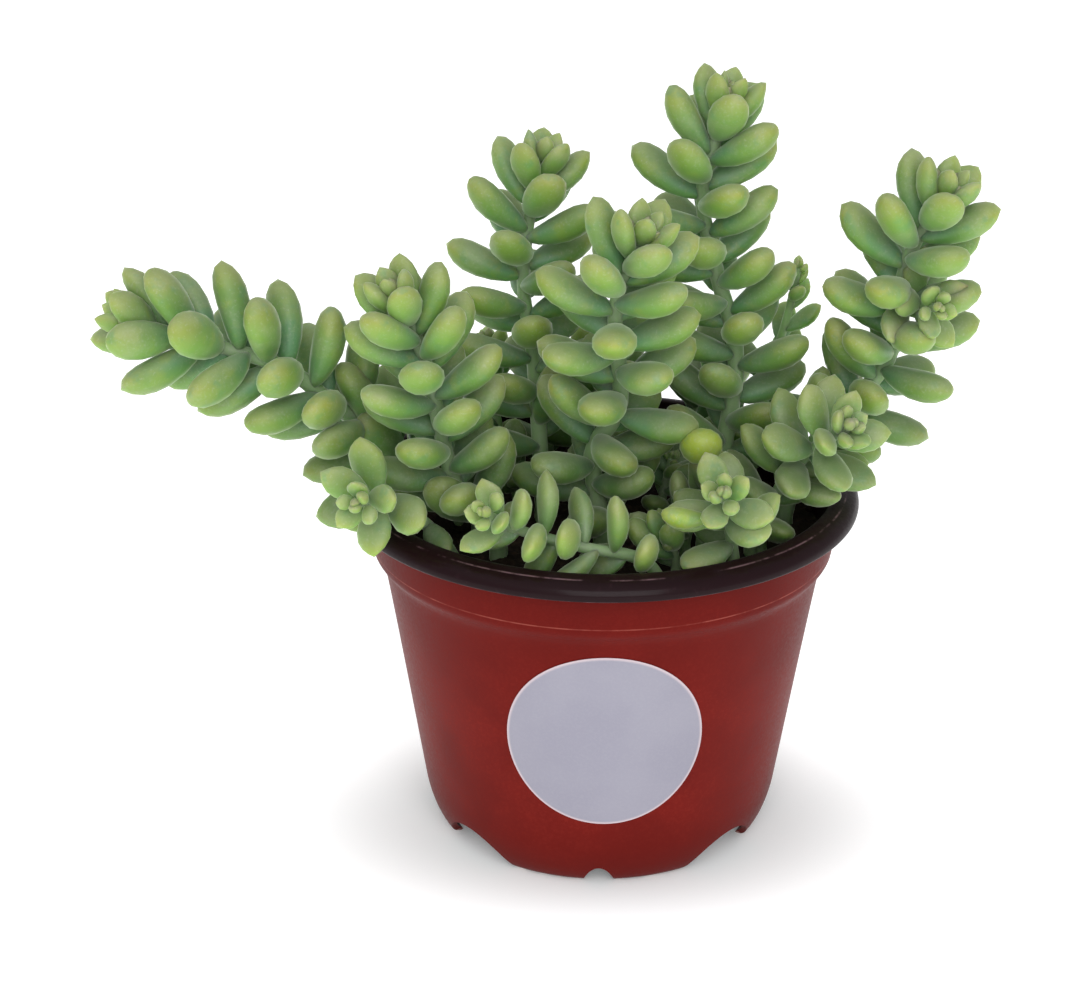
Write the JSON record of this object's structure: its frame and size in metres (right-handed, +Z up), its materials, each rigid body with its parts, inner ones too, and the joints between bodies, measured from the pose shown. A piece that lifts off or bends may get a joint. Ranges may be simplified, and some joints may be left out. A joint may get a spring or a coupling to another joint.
{
  "type": "potted burro's tail plant",
  "caption": "Potted burro's tail succulent: trailing stems of plump blue-green leaves in a thin red plastic nursery pot with a bare round paper label.",
  "frame": {"origin": "on the floor under the middle of the whole plant's bounding box, 11 mm to the left of the pot's foot centre because one stem trails further out on that side", "axes": "+X to the right seen from the label's side, along the plant's longest extent; +Y away from the label, along its shortest extent; +Z up"},
  "size_m": [0.1693, 0.1, 0.1511],
  "materials": {
    "pot_red": "satin",
    "label_paper": "satin",
    "soil_peat": "matte",
    "leaf_green": "satin"
  },
  "bodies": {
    "root": {"pot": "pot_red", "label": "label_paper", "soil": "soil_peat", "stem_middle": "leaf_green", "stem_left_front": "leaf_green", "stem_back_middle": "leaf_green", "stem_back_left": "leaf_green", "stem_right": "leaf_green", "stem_left_trailing": "leaf_green", "stem_right_front": "leaf_green", "shoot_front_right": "leaf_green", "shoot_front_left": "leaf_green", "shoot_far_left": "leaf_green", "shoot_front_middle": "leaf_green", "shoot_inner": "leaf_green", "shoot_behind_right": "leaf_green", "shoot_back_left": "leaf_green", "shoot_back_middle": "leaf_green", "shoot_back_right": "leaf_green"}
  },
  "joints": []
}
